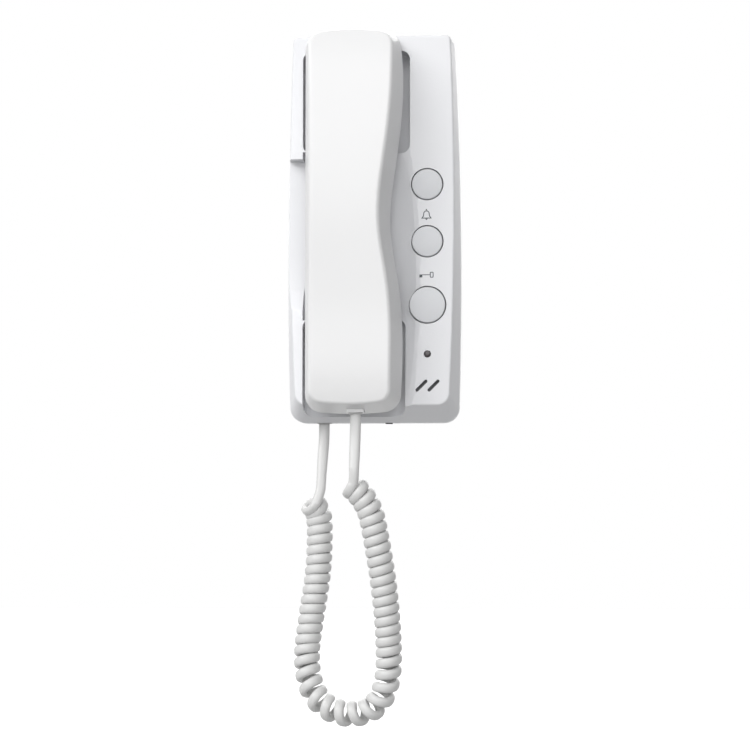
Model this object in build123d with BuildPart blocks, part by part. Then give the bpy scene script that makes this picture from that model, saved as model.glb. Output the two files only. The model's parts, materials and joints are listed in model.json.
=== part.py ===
from build123d import *
from math import asin, cos, degrees, pi, radians, sin, sqrt, tan
import os

os.makedirs("parts", exist_ok=True)

# Audio intercom wall station, in millimetres. The wall is the plane Y = 0, the room is towards -Y,
# X runs to the right and Z up. The origin is the middle of the wall bracket, on the wall.
# A depth is a distance from the wall into the room.

# Case
base_height = 220.0
base_depth = 30.0
split_depth = 12.0
half_width_top = 45.8
half_width_middle = 49.4
half_width_low = 48.0
front_half_width_top = 44.8
front_half_width_middle = 46.6
front_half_width_low = 43.2
front_top_drop = 0.8
front_low_rise = 9.0
case_corner_top = 3.0
case_corner_low = 9.0
front_corner_low = 7.0
panel_edge_radius = 1.4
back_edge_chamfer = 0.8
wall = 2.2
joint_gap = 0.15
overrun = 1.0

# Cradle in the front cover
cradle_left = -39.4
cradle_top = 100.5
cradle_low = -107.0
well_depth = 16.0
ear_well_right = 21.7
ear_well_low = 42.0
mouth_well_right = 18.6
mouth_well_top = -52.0
well_corner = 5.0
scoop_middle_x = 10.4
scoop_middle_z = -32.0
scoop_cut = 9.0
scoop_half_length = 118.0
# radius, cut at the middle and arch radius, of the valley and of the easing of its edge
scoop_sections = ((18.0, scoop_cut, 436.0), (30.0, 5.5, 860.0))
rim_cut_top = 39.0
rim_cut_low = -34.0
rim_ramp_low = -47.0

# Push buttons, in the order upper, bell, door
button_x = 31.3
button_heights = (23.9, -8.6, -44.6)
button_hole_radii = (9.25, 9.25, 10.75)
button_gap = 0.6
button_proud = 1.0
button_crown = 0.7
button_edge = 0.8
button_wall = 1.6
guide_wall = 1.6
guide_end_depth = 20.7
flange_gap = 0.3
flange_thick = 1.4
flange_reach = 1.0
stem_radius = 2.6

# Indicator and sound slots
lamp_z = -72.4
lamp_radius = 1.75
lamp_proud = 0.3
lamp_flange = 0.8
lamp_flange_thick = 1.2
led_radius = 1.5
led_height = 2.6
slot_centres = ((27.9, -90.2), (34.7, -90.2))
slot_length = 8.8
slot_width = 1.9
slot_angle = 45.0
speaker_x = 31.6
speaker_z = -90.2
speaker_radius = 9.6
speaker_height = 5.0
speaker_front_depth = 24.6
speaker_magnet_radius = 6.0
speaker_magnet_height = 2.2
gasket_thick = 0.8
speaker_seat_width = 1.8
speaker_collar = 1.2

# Wall bracket
bracket_width = 60.0
bracket_height = 116.0
bracket_thick = 1.2
bracket_corner = 4.0
bracket_pocket_gap = 0.4
bracket_screw_spacing = 83.5
bracket_slot_length = 9.0
bracket_slot_width = 4.4
bracket_window_width = 36.0
bracket_window_height = 40.0
bracket_tab_width = 8.0
bracket_tab_height = 5.0
bracket_bend_gap = 0.3
bracket_tab_x = 18.0
bracket_tab_z = 46.0
bracket_tab_gap = 0.4

# Main board and what it carries
board_depth = 10.2
board_thick = 1.6
board_left = -30.0
board_right = 43.6
board_top = 58.0
board_low = -104.5
board_corner = 2.0
post_clearance = 0.6
hook_window_left = -19.0
hook_window_right = 0.5
hook_window_top = -50.0
hook_window_low = -84.0
keypad_thick = 1.0
keypad_width = 18.0
keypad_margin = 11.0
dome_wall = 0.9
dome_radius_low = 5.0
dome_radius_top = 3.2
dome_clearance = 0.1
terminal_width = 24.0
terminal_length = 11.0
terminal_depth = 2.6
terminal_z = -13.5
terminal_pitch = 9.0
terminal_bore = 3.2
terminal_screw_radius = 2.4
terminal_screw_height = 3.0
terminal_screw_gap = 0.05
screw_slot_width = 0.8
screw_slot_depth = 0.9

# Screws: thread radius, head radius and head height
case_screw_radius = 1.5
case_screw_head = 2.8
case_screw_head_height = 2.0
case_screw_length = 10.5
case_screw_recess = 2.6
case_screw_rim = 1.4
screw_gap = 0.3
case_boss_radius = 3.4
case_screw_places = ((40.0, 84.0), (41.2, -59.8), (-34.6, 92.0), (-34.6, -62.0))
case_screw_seat = 4.4
board_screw_radius = 1.1
board_screw_head = 2.4
board_screw_head_height = 1.4
board_screw_length = 7.0
board_post_radius = 3.0
board_screw_places = ((-25.5, 53.0), (38.8, 53.0), (-25.5, -46.0), (16.5, -80.0))
recess_radius_share = 0.45
recess_depth_share = 0.5
pilot_clearance = 0.03

# Tone volume switch in the bottom edge
volume_x = 8.0
volume_slot_length = 13.4
volume_slot_width = 3.6
volume_body_width = 16.4
volume_body_height = 6.0
volume_seat_gap = 0.15
volume_socket = 4.6
volume_knob_width = 4.0
volume_knob_thick = 2.8
volume_knob_proud = 0.6
volume_knob_gap = 0.1
release_x = 30.0
release_width = 5.2
release_height = 1.6
release_low_depth = 2.4
snap_thick = 1.6
snap_gap = 0.3
snap_reach = 8.0

# Jacks and plugs of the cord, the same at both ends
plug_width = 7.6
plug_thick = 5.8
plug_length = 12.0
plug_latch_width = 3.0
plug_latch_thick = 0.9
plug_latch_gap = 0.3
plug_edge = 0.5
plug_proud = 0.4
jack_wall = 0.95
jack_gap = 0.12
jack_extra_length = 2.4
base_exit_x = -29.2

# Hook lever
hook_x = -9.3
hook_pivot_depth = 8.0
hook_pivot_z = -56.0
hook_barrel_radius = 2.4
hook_width = 7.0
hook_arm_length = 19.0
hook_arm_thick = 2.4
hook_tongue_length = 4.0
hook_end_gap = 0.12
hook_tip_round = 1.2
hook_seat_gap = 0.05
hook_slot_gap = 0.9
hook_slot_top = -64.0
hook_slot_low = -77.4
hook_pin_radius = 1.25
hook_pin_gap = 0.05
hook_ear_thick = 2.0
hook_ear_gap = 0.4
hook_spring_radius = 2.3
hook_spring_wall = 0.6
hook_spring_drop = 16.0
hook_switch_width = 12.6
hook_switch_height = 6.0
hook_switch_thick = 3.0
hook_switch_drop = 7.8
hook_plunger_radius = 0.9
hook_plunger_gap = 0.12

# Handset
handset_left = -37.2
handset_width = 55.4
handset_top = 109.9
handset_low = -104.3
handset_end_crown = 2.0
handset_split_depth = 36.0
handset_front_depth = 62.0
handset_left_draft = 5.0
handset_right_draft = 6.6
handset_end_draft = 6.5
handset_corner_top = 11.0
handset_corner_low = 10.0
handset_edge_radius = 2.6
handset_wall = 2.0
handset_seat_gap = 0.3
handset_back_taper = 3.0
grip_depth = 34.0
grip_top_share = 0.655
grip_low_share = 0.3
ear_flat_share = 0.745
mouth_flat_share = 0.2
lip_clearance = 1.2

# Handset front, seen from the side: shares of the length from the low end, and depths
front_line_shares = ((0.0, 0.855), (0.075, 0.925), (0.22, 0.94), (0.52, 1.0), (0.8, 0.945), (0.95, 0.84),
                     (1.0, 0.72))
# Handset right edge, seen from the front: shares of the length from the low end, and of the width
right_edge_shares = ((0.0, 0.966), (0.14, 0.99), (0.27, 0.976), (0.34, 0.945), (0.47, 0.872), (0.6, 0.9),
                     (0.72, 0.965), (0.86, 1.0), (1.0, 0.955))

# Inside the handset
handset_middle_x = -9.5
ear_z = 79.0
mouth_z = -84.0
sound_hole_radius = 1.3
sound_ring_radius = 7.0
sound_holes = 6
mouth_hole_radius = 0.9
mouth_ring_radius = 3.0
mouth_holes = 5
receiver_radius = 15.0
receiver_height = 8.0
receiver_back_radius = 9.0
receiver_back_height = 4.0
receiver_gasket_thick = 1.4
receiver_gasket_width = 2.4
capsule_radius = 4.9
capsule_height = 6.0
boot_wall = 1.5
boot_floor = 1.0
collar_wall = 1.2
collar_gap = 0.3
collar_height = 5.0
seat_gap = 0.05
weight_width = 26.0
weight_length = 62.0
weight_thick = 7.0
weight_z = 4.0
weight_gap = 0.15
weight_edge = 1.5
handset_screw_places = ((-9.5, 42.0), (-9.5, -34.0))
handset_screw_radius = 1.5
handset_screw_head = 2.9
handset_screw_head_height = 2.2
handset_screw_length = 12.0
handset_boss_radius = 3.6
handset_cup_wall = 1.2
handset_cup_floor = 1.6
handset_exit_x = -8.2
handset_jack_depth = 41.8

# Curly cord: wire, curls and the hand-chosen routes
wire = 4.7
curl_radius = 5.35
leg_pitch = 5.65
bend_pitch = 8.2
bend_top_z = -236.0
bend_low_z = -262.0
wire_sides = 6
turn_parts = 4
turn_step = 0.004
loop_facing = (0.55, 0.835, 0.0)
axis_parts = 40
bend_share = 0.45
first_part = 5
last_part = 3
gap_parts = 16
base_lead_points = (
    (-29.2, -6.2, -110.4),
    (-29.2, -6.2, -121.0),
    (-28.0, -7.3, -132.0),
    (-27.6, -7.9, -141.5),
)
handset_lead_points = (
    (-8.2, -41.8, -106.7),
    (-8.2, -41.8, -116.0),
    (-8.7, -37.8, -125.8),
    (-8.9, -36.0, -135.0),
)
curl_axis_points = (
    (-31.2, -13.0, -150.0),
    (-30.0, -13.4, -172.0),
    (-31.6, -14.4, -196.0),
    (-35.6, -15.8, -220.0),
    (-38.6, -17.6, -244.0),
    (-34.6, -20.0, -262.5),
    (-25.0, -22.6, -271.5),
    (-12.0, -25.4, -274.5),
    (2.0, -28.6, -270.5),
    (9.4, -31.2, -256.0),
    (9.8, -33.6, -232.0),
    (7.8, -36.0, -206.0),
    (4.2, -38.2, -181.0),
    (-1.6, -39.6, -160.0),
    (-9.4, -40.4, -146.0),
)


def at_depth(depth):
    # a plane facing the room at this distance from the wall, its own Y along the object's Z
    return Plane.XZ.offset(depth)


def save(part, name):
    part.label = name
    export_step(part, f"parts/{name}.step")


top_z = base_height / 2
low_z = -base_height / 2
inner_panel_depth = base_depth - wall
board_front_depth = board_depth + board_thick
well_inner_depth = well_depth - wall
bed_depth = base_depth - scoop_cut
handset_length = handset_top - handset_low
handset_seat_depth = well_depth + handset_seat_gap


def case_outline(half_top, half_middle, half_low, upper, lower, corner_top, corner_low, inset=0):
    # bowed sides between a straight top and a straight bottom, with rounded corners
    t, m, w = half_top - inset, half_middle - inset, half_low - inset
    up, low = upper - inset, lower + inset
    middle = (up + low) / 2
    with BuildSketch() as outline:
        with BuildLine():
            ThreePointArc((w, low), (m, middle), (t, up))
            Line((t, up), (-t, up))
            ThreePointArc((-t, up), (-m, middle), (-w, low))
            Line((-w, low), (w, low))
        make_face()
        corners = outline.vertices()
        fillet(corners.group_by(Axis.Y)[-1], max(corner_top - inset, corner_top / 3))
        corners = outline.vertices()
        fillet(corners.group_by(Axis.Y)[0], corner_low - inset)
    return outline.sketch


def back_outline(inset=0):
    return case_outline(half_width_top, half_width_middle, half_width_low, top_z, low_z, case_corner_top,
                        case_corner_low, inset)


def front_outline(inset=0):
    return case_outline(front_half_width_top, front_half_width_middle, front_half_width_low,
                        top_z - front_top_drop, low_z + front_low_rise, case_corner_top, front_corner_low, inset)


def rectangle_between(left, right, low, high):
    with Locations(((left + right) / 2, (low + high) / 2)):
        return Rectangle(right - left, high - low)


def cradle_cuts(grow):
    # wells, bed, rim cut and finger valley, grown by a wall when they shape the cavity behind them
    reach = base_depth + overrun
    with BuildPart() as cuts:
        with BuildSketch(at_depth(reach)):
            rectangle_between(cradle_left - grow, ear_well_right + grow, ear_well_low - grow, cradle_top + grow)
            fillet(vertices(), well_corner + grow)
        extrude(amount=-(reach - well_depth + grow))
        with BuildSketch(at_depth(reach)):
            rectangle_between(cradle_left - grow, mouth_well_right + grow, cradle_low - grow, mouth_well_top + grow)
            fillet(vertices(), well_corner + grow)
        extrude(amount=-(reach - well_depth + grow))
        with BuildSketch(at_depth(reach)):
            rectangle_between(cradle_left - grow, scoop_middle_x, mouth_well_top - overrun, ear_well_low + overrun)
        extrude(amount=-(reach - bed_depth + grow))
        # the left rim is cut down to the bed between a sharp step and a ramp, for the fingers
        with BuildSketch(Plane.YZ.offset(cradle_left + overrun)):
            with BuildLine():
                Polyline(
                    (-reach, rim_cut_top + grow),
                    (-bed_depth + grow, rim_cut_top + grow),
                    (-bed_depth + grow, rim_cut_low - grow),
                    (-base_depth + grow, rim_ramp_low - grow),
                    (-reach, rim_ramp_low - grow),
                    close=True,
                )
            make_face()
        extrude(amount=-(half_width_middle + cradle_left + 2 * overrun))
        # the finger valley is a stretch of a large ring of round section that dips into the panel, and a
        # flatter one eases its edge
        for radius, cut, arch_radius in scoop_sections:
            ring_centre = (0, -(base_depth - cut + radius + arch_radius), scoop_middle_z)
            tilt = -asin(scoop_half_length / (arch_radius + radius))
            with BuildSketch(Plane(origin=ring_centre, x_dir=(1, 0, 0), z_dir=(0, -sin(tilt), cos(tilt)))):
                with Locations((scoop_middle_x, arch_radius)):
                    Circle(radius + grow)
            revolve(axis=Axis(ring_centre, (1, 0, 0)), revolution_arc=-2 * degrees(tilt))
    return cuts.part


def screw(radius, head_radius, head_height, length, tip_share=0.7):
    # pan head with a recess, its seat at the origin and its shank along +Z
    with BuildPart() as body:
        with BuildSketch():
            Circle(head_radius)
        extrude(amount=-head_height)
        fillet(body.faces().sort_by(Axis.Z)[0].edges(), head_height / 3)
        with BuildSketch():
            Circle(radius)
        extrude(amount=length - radius)
        with BuildSketch(Plane.XY.offset(length - radius)):
            Circle(radius)
        with BuildSketch(Plane.XY.offset(length)):
            Circle(radius * (1 - tip_share))
        loft()
        with BuildSketch(Plane.XY.offset(-head_height)):
            RegularPolygon(head_radius * recess_radius_share, 4)
        extrude(amount=head_height * recess_depth_share, mode=Mode.SUBTRACT)
    return body.part


def screws_at(places, depth, towards_room, *sizes):
    # copies of one screw, the seat of each head at this depth
    one = screw(*sizes)
    turn = 90 if towards_room else -90
    return Compound(children=[Pos(x, -depth, z) * Rot(turn, 0, 0) * one for x, z in places])


# Cavity of the front cover: its inner form, less the walls of the cradle and the bosses
lamp_guide_radius = lamp_radius + guide_wall
with BuildPart() as cover_cavity:
    with BuildSketch(at_depth(split_depth)):
        add(back_outline(wall))
    with BuildSketch(at_depth(inner_panel_depth)):
        add(front_outline(wall))
    loft()
    with BuildSketch(at_depth(split_depth)):
        add(back_outline(wall))
    extrude(amount=-overrun)
    add(cradle_cuts(wall), mode=Mode.SUBTRACT)
    for z, hole in zip(button_heights, button_hole_radii):
        with BuildSketch(at_depth(guide_end_depth)):
            with Locations((button_x, z)):
                Circle(hole + guide_wall)
        extrude(amount=base_depth - guide_end_depth, mode=Mode.SUBTRACT)
    with BuildSketch(at_depth(guide_end_depth)):
        with Locations((button_x, lamp_z)):
            Circle(lamp_guide_radius)
    extrude(amount=base_depth - guide_end_depth, mode=Mode.SUBTRACT)
    with BuildSketch(at_depth(split_depth)):
        with Locations(*case_screw_places):
            Circle(case_boss_radius)
    extrude(amount=base_depth - split_depth, mode=Mode.SUBTRACT)
    with BuildSketch(at_depth(board_front_depth)):
        with Locations((speaker_x, speaker_z)):
            Circle(speaker_radius + joint_gap)
    extrude(amount=speaker_front_depth + gasket_thick - board_front_depth)
    with BuildSketch(at_depth(speaker_front_depth + gasket_thick)):
        with Locations((speaker_x, speaker_z)):
            Circle(speaker_radius)
            Circle(speaker_radius - speaker_seat_width, mode=Mode.SUBTRACT)
    extrude(amount=base_depth - speaker_front_depth, mode=Mode.SUBTRACT)
    with BuildSketch(at_depth(speaker_front_depth - speaker_height / 2)):
        with Locations((speaker_x, speaker_z)):
            Circle(speaker_radius + joint_gap + speaker_collar)
            Circle(speaker_radius + joint_gap, mode=Mode.SUBTRACT)
    extrude(amount=base_depth - speaker_front_depth, mode=Mode.SUBTRACT)

with BuildPart() as front_cover:
    with BuildSketch(at_depth(split_depth)):
        add(back_outline())
    with BuildSketch(at_depth(base_depth)):
        add(front_outline())
    loft()
    fillet(front_cover.faces().sort_by(Axis.Y)[0].edges(), panel_edge_radius)
    add(cradle_cuts(0), mode=Mode.SUBTRACT)
    add(cover_cavity.part, mode=Mode.SUBTRACT)
    for z, hole in zip(button_heights, button_hole_radii):
        with BuildSketch(at_depth(split_depth)):
            with Locations((button_x, z)):
                Circle(hole)
        extrude(amount=base_depth, mode=Mode.SUBTRACT)
    with BuildSketch(at_depth(split_depth)):
        with Locations((button_x, lamp_z)):
            Circle(lamp_radius + button_gap / 2)
    extrude(amount=base_depth, mode=Mode.SUBTRACT)
    with BuildSketch(at_depth(inner_panel_depth - overrun)):
        with Locations(*slot_centres):
            SlotOverall(slot_length, slot_width, rotation=slot_angle)
    extrude(amount=base_depth, mode=Mode.SUBTRACT)
    # slot of the hook lever's tongue in the floor of the mouth well
    with BuildSketch(at_depth(split_depth)):
        rectangle_between(hook_x - hook_width / 2 - hook_slot_gap, hook_x + hook_width / 2 + hook_slot_gap,
                          hook_slot_low, hook_slot_top)
    extrude(amount=well_depth - split_depth + overrun, mode=Mode.SUBTRACT)
    # bosses reach back to the case, and take its screws
    with BuildSketch(at_depth(case_screw_seat + joint_gap)):
        with Locations(*case_screw_places):
            Circle(case_boss_radius)
    extrude(amount=well_inner_depth - case_screw_seat)
    with BuildSketch(at_depth(case_screw_seat)):
        with Locations(*case_screw_places):
            Circle(case_screw_radius + pilot_clearance)
    extrude(amount=well_inner_depth - case_screw_seat, mode=Mode.SUBTRACT)
    # tongue that snaps into the case above the release slot
    with BuildSketch(Plane.XY.offset(low_z + wall + snap_gap)):
        with Locations((release_x, -(split_depth - snap_reach / 2 + wall / 2))):
            Rectangle(release_width, snap_reach + wall)
    extrude(amount=snap_thick)
save(front_cover.part, "front_cover")


# Rear case: a tray with the bracket's pocket in its back
pocket_depth = bracket_thick + bracket_pocket_gap
pocket_floor_depth = pocket_depth + wall
pocket_half_width = bracket_width / 2 + bracket_pocket_gap
pocket_half_height = bracket_height / 2 + bracket_pocket_gap
tab_depth = pocket_floor_depth + bracket_bend_gap + bracket_thick
tab_slot_height = bracket_tab_height + 2 * bracket_thick + bracket_tab_gap
tab_slot_middle_z = bracket_tab_z + bracket_thick + bracket_tab_gap - tab_slot_height / 2
base_jack_depth = (wall + board_depth) / 2
jack_width = plug_width + 2 * (jack_gap + jack_wall)
jack_thick = plug_thick + 2 * (jack_gap + jack_wall)
board_holes = [place for place in case_screw_places if board_left < place[0] < board_right and place[1] < board_top]
ear_x = hook_width / 2 + hook_ear_gap
with BuildPart() as rear_case:
    with BuildSketch(at_depth(0)):
        add(back_outline())
    extrude(amount=split_depth - joint_gap)
    chamfer(rear_case.faces().sort_by(Axis.Y)[-1].edges(), back_edge_chamfer)
    with BuildSketch(at_depth(wall)):
        add(back_outline(wall))
    extrude(amount=split_depth, mode=Mode.SUBTRACT)
    with BuildSketch(at_depth(wall / 2)):
        Rectangle(2 * (pocket_half_width + wall), 2 * (pocket_half_height + wall))
        fillet(vertices(), bracket_corner)
    extrude(amount=pocket_floor_depth - wall / 2)
    with BuildSketch(at_depth(0)):
        Rectangle(bracket_window_width, bracket_window_height)
        fillet(vertices(), bracket_corner)
        with Locations((-bracket_tab_x, tab_slot_middle_z), (bracket_tab_x, tab_slot_middle_z)):
            Rectangle(bracket_tab_width + 2 * bracket_tab_gap, tab_slot_height)
    extrude(amount=split_depth, mode=Mode.SUBTRACT)
    # screw cups, board posts and the ears of the hook lever stand on the floor
    with BuildSketch(at_depth(wall / 2)):
        with Locations(*case_screw_places):
            Circle(case_screw_head + screw_gap + case_screw_rim)
    extrude(amount=case_screw_seat - wall / 2)
    with BuildSketch(at_depth(wall / 2)):
        with Locations(*board_screw_places):
            Circle(board_post_radius)
    extrude(amount=board_depth - wall / 2)
    with BuildSketch(at_depth(wall / 2)):
        with Locations((hook_x - ear_x - hook_ear_thick / 2, hook_pivot_z),
                       (hook_x + ear_x + hook_ear_thick / 2, hook_pivot_z)):
            Rectangle(hook_ear_thick, 2 * hook_barrel_radius)
    extrude(amount=hook_pivot_depth + hook_barrel_radius - wall / 2)
    with BuildSketch(at_depth(0)):
        Rectangle(2 * pocket_half_width, 2 * pocket_half_height)
        fillet(vertices(), bracket_corner)
    extrude(amount=pocket_depth, mode=Mode.SUBTRACT)
    with BuildSketch(at_depth(0)):
        with Locations(*case_screw_places):
            Circle(case_screw_head + screw_gap)
    extrude(amount=case_screw_recess, mode=Mode.SUBTRACT)
    with BuildSketch(at_depth(0)):
        with Locations(*case_screw_places):
            Circle(case_screw_radius + joint_gap)
    extrude(amount=split_depth, mode=Mode.SUBTRACT)
    with BuildSketch(at_depth(pocket_floor_depth)):
        with Locations(*board_screw_places):
            Circle(board_screw_radius + pilot_clearance)
    extrude(amount=split_depth, mode=Mode.SUBTRACT)
    with BuildSketch(Plane.YZ.offset(hook_x - ear_x - hook_ear_thick - overrun)):
        with Locations((-hook_pivot_depth, hook_pivot_z)):
            Circle(hook_pin_radius + hook_pin_gap)
    extrude(amount=2 * (ear_x + hook_ear_thick + overrun), mode=Mode.SUBTRACT)
    # openings of the bottom edge: cord jack, volume knob, release slot
    with BuildSketch(Plane.XY.offset(low_z - overrun)):
        with Locations((base_exit_x, -base_jack_depth)):
            Rectangle(jack_width + 2 * joint_gap, jack_thick + joint_gap)
        with Locations((volume_x, -base_jack_depth)):
            Rectangle(volume_slot_length, volume_slot_width)
        with Locations((release_x, -release_low_depth - release_height / 2)):
            Rectangle(release_width, release_height)
    extrude(amount=wall + 2 * overrun, mode=Mode.SUBTRACT)
save(rear_case.part, "rear_case")

with BuildPart() as wall_bracket:
    with BuildSketch(at_depth(0)):
        Rectangle(bracket_width, bracket_height)
        fillet(vertices(), bracket_corner)
        Rectangle(bracket_window_width, bracket_window_height, mode=Mode.SUBTRACT)
        with Locations((0, bracket_screw_spacing / 2), (0, -bracket_screw_spacing / 2)):
            SlotOverall(bracket_slot_length, bracket_slot_width, rotation=90, mode=Mode.SUBTRACT)
        with Locations((-bracket_tab_x, bracket_tab_z + bracket_thick + bracket_tab_height / 2),
                       (bracket_tab_x, bracket_tab_z + bracket_thick + bracket_tab_height / 2)):
            Rectangle(bracket_tab_width, bracket_tab_height, mode=Mode.SUBTRACT)
    extrude(amount=bracket_thick)
    for x in (-bracket_tab_x, bracket_tab_x):
        with BuildSketch(Plane.YZ.offset(x - bracket_tab_width / 2)):
            with BuildLine():
                Polyline(
                    (0, bracket_tab_z),
                    (-tab_depth, bracket_tab_z),
                    (-tab_depth, bracket_tab_z + bracket_tab_height + bracket_thick),
                    (-tab_depth + bracket_thick, bracket_tab_z + bracket_tab_height + bracket_thick),
                    (-tab_depth + bracket_thick, bracket_tab_z + bracket_thick),
                    (0, bracket_tab_z + bracket_thick),
                    close=True,
                )
            make_face()
        extrude(amount=bracket_tab_width)
save(wall_bracket.part, "wall_bracket")

save(screws_at(case_screw_places, case_screw_recess, True, case_screw_radius, case_screw_head,
               case_screw_head_height, case_screw_length), "case_screws")

with BuildPart() as main_board:
    with BuildSketch(at_depth(board_depth)):
        rectangle_between(board_left, board_right, board_low, board_top)
        fillet(vertices(), board_corner)
        with Locations(*board_holes):
            Circle(case_boss_radius + post_clearance, mode=Mode.SUBTRACT)
        with Locations(*board_screw_places):
            Circle(board_screw_radius + joint_gap, mode=Mode.SUBTRACT)
        with Locations(((hook_window_left + hook_window_right) / 2, (hook_window_low + hook_window_top) / 2)):
            Rectangle(hook_window_right - hook_window_left, hook_window_top - hook_window_low, mode=Mode.SUBTRACT)
    extrude(amount=board_thick)
save(main_board.part, "main_board")

save(screws_at(board_screw_places, board_front_depth, False, board_screw_radius, board_screw_head,
               board_screw_head_height, board_screw_length), "board_screws")

# Terminal block on the board's back, reached through the bracket's window
terminal_places = ((-terminal_pitch / 2, terminal_z), (terminal_pitch / 2, terminal_z))
screw_top_depth = terminal_depth + terminal_screw_gap
with BuildPart() as terminal_block:
    with BuildSketch(at_depth(terminal_depth)):
        with Locations((0, terminal_z)):
            Rectangle(terminal_width, terminal_length)
    extrude(amount=board_depth - terminal_depth)
    chamfer(terminal_block.faces().sort_by(Axis.Y)[-1].edges(), terminal_bore / 4)
    with BuildSketch(at_depth(terminal_depth)):
        with Locations(*terminal_places):
            Circle(terminal_screw_radius + terminal_screw_gap)
    extrude(amount=terminal_screw_height + terminal_screw_gap, mode=Mode.SUBTRACT)
    with BuildSketch(Plane.XY.offset(terminal_z)):
        with Locations(*[(x, -(terminal_depth + terminal_screw_height + terminal_bore / 2 + jack_gap))
                         for x, z in terminal_places]):
            Circle(terminal_bore / 2)
    extrude(amount=terminal_length, mode=Mode.SUBTRACT)
save(terminal_block.part, "terminal_block")

with BuildPart() as terminal_screws:
    with BuildSketch(at_depth(screw_top_depth)):
        with Locations(*terminal_places):
            Circle(terminal_screw_radius)
    extrude(amount=terminal_screw_height - terminal_screw_gap)
    with BuildSketch(at_depth(screw_top_depth)):
        with Locations(*terminal_places):
            Rectangle(2 * terminal_screw_radius + overrun, screw_slot_width)
    extrude(amount=screw_slot_depth, mode=Mode.SUBTRACT)
save(terminal_screws.part, "terminal_screws")


def turning_plane(x, z):
    # local X is a radius and local Y a depth, for profiles turned about an axis towards the room
    return Plane(origin=(x, 0, z), x_dir=(1, 0, 0), z_dir=(0, 0, -1))


def turning_axis(x, z):
    return Axis((x, 0, z), (0, 1, 0))


def crown(radius, depth, rise):
    # three points of a flat dome's arc, from its rim to the axis, its centre on the axis
    ball = (radius ** 2 + rise ** 2) / (2 * rise)
    half = asin(radius / ball) / 2
    return (radius, depth), (ball * sin(half), depth + rise - ball * (1 - cos(half))), (0, depth + rise)


# Push buttons: a hollow cap with a crowned top, a flange behind the panel and a stem to the keypad
flange_top_depth = guide_end_depth - flange_gap
stem_end_depth = well_depth + dome_clearance
button_top_depth = base_depth + button_proud


def button(z, hole_radius):
    cap_radius = hole_radius - button_gap
    edge_depth = button_top_depth - button_crown
    under_depth = edge_depth - button_wall
    with BuildPart() as cap:
        with BuildSketch(turning_plane(button_x, z)):
            with BuildLine():
                Polyline(
                    (0, under_depth + button_wall / 2),
                    (0, stem_end_depth),
                    (stem_radius, stem_end_depth),
                    (stem_radius, under_depth),
                    (cap_radius - button_wall, under_depth),
                    (cap_radius - button_wall, flange_top_depth - flange_thick),
                    (hole_radius + flange_reach, flange_top_depth - flange_thick),
                    (hole_radius + flange_reach, flange_top_depth),
                    (cap_radius, flange_top_depth),
                    (cap_radius, edge_depth - button_edge),
                )
                ThreePointArc((cap_radius, edge_depth - button_edge),
                              (cap_radius - button_edge * (1 - cos(radians(45))),
                               edge_depth - button_edge * (1 - sin(radians(45)))),
                              (cap_radius - button_edge, edge_depth))
                ThreePointArc(*crown(cap_radius - button_edge, edge_depth, button_crown))
                Line((0, button_top_depth), (0, under_depth + button_wall / 2))
            make_face()
        revolve(axis=turning_axis(button_x, z))
    return cap.part


for name, z, hole in zip(("button_upper", "button_bell", "button_door"), button_heights, button_hole_radii):
    save(button(z, hole), name)

with BuildPart() as rubber_keypad:
    with BuildSketch(at_depth(board_front_depth)):
        rectangle_between(button_x - keypad_width / 2, button_x + keypad_width / 2,
                          button_heights[-1] - keypad_margin, button_heights[0] + keypad_margin)
        fillet(vertices(), board_corner)
    extrude(amount=keypad_thick)
    dome_low = board_front_depth + keypad_thick
    for z in button_heights:
        with BuildSketch(turning_plane(button_x, z)):
            with BuildLine():
                Polyline(
                    (0, well_depth),
                    (dome_radius_top, well_depth),
                    (dome_radius_low, dome_low),
                    (0, dome_low),
                    close=True,
                )
            make_face()
        revolve(axis=turning_axis(button_x, z))
        with BuildSketch(turning_plane(button_x, z)):
            with BuildLine():
                Polyline(
                    (0, well_depth - dome_wall),
                    (dome_radius_top - dome_wall, well_depth - dome_wall),
                    (dome_radius_low - dome_wall, board_front_depth),
                    (0, board_front_depth),
                    close=True,
                )
            make_face()
        revolve(axis=turning_axis(button_x, z), mode=Mode.SUBTRACT)
save(rubber_keypad.part, "rubber_keypad")

# Indicator: a clear light guide over a small diode
with BuildPart() as indicator_lens:
    with BuildSketch(turning_plane(button_x, lamp_z)):
        with BuildLine():
            Polyline(
                (0, board_front_depth + led_height + joint_gap),
                (lamp_radius, board_front_depth + led_height + joint_gap),
                (lamp_radius, guide_end_depth - joint_gap - lamp_flange_thick),
                (lamp_radius + lamp_flange, guide_end_depth - joint_gap - lamp_flange_thick),
                (lamp_radius + lamp_flange, guide_end_depth - joint_gap),
                (lamp_radius, guide_end_depth - joint_gap),
                (lamp_radius, base_depth),
            )
            ThreePointArc(*crown(lamp_radius, base_depth, lamp_proud))
            Line((0, base_depth + lamp_proud), (0, board_front_depth + led_height + joint_gap))
        make_face()
    revolve(axis=turning_axis(button_x, lamp_z))
save(indicator_lens.part, "indicator_lens")

with BuildPart() as indicator_led:
    with BuildSketch(turning_plane(button_x, lamp_z)):
        with BuildLine():
            Polyline(
                (0, board_front_depth),
                (led_radius * 4 / 3, board_front_depth),
                (led_radius * 4 / 3, board_front_depth + led_radius / 2),
                (led_radius, board_front_depth + led_radius / 2),
                (led_radius, board_front_depth + led_height - led_radius),
            )
            ThreePointArc((led_radius, board_front_depth + led_height - led_radius),
                          (led_radius * cos(radians(45)), board_front_depth + led_height
                           - led_radius * (1 - sin(radians(45)))), (0, board_front_depth + led_height))
            Line((0, board_front_depth + led_height), (0, board_front_depth))
        make_face()
    revolve(axis=turning_axis(button_x, lamp_z))
save(indicator_led.part, "indicator_led")

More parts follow.
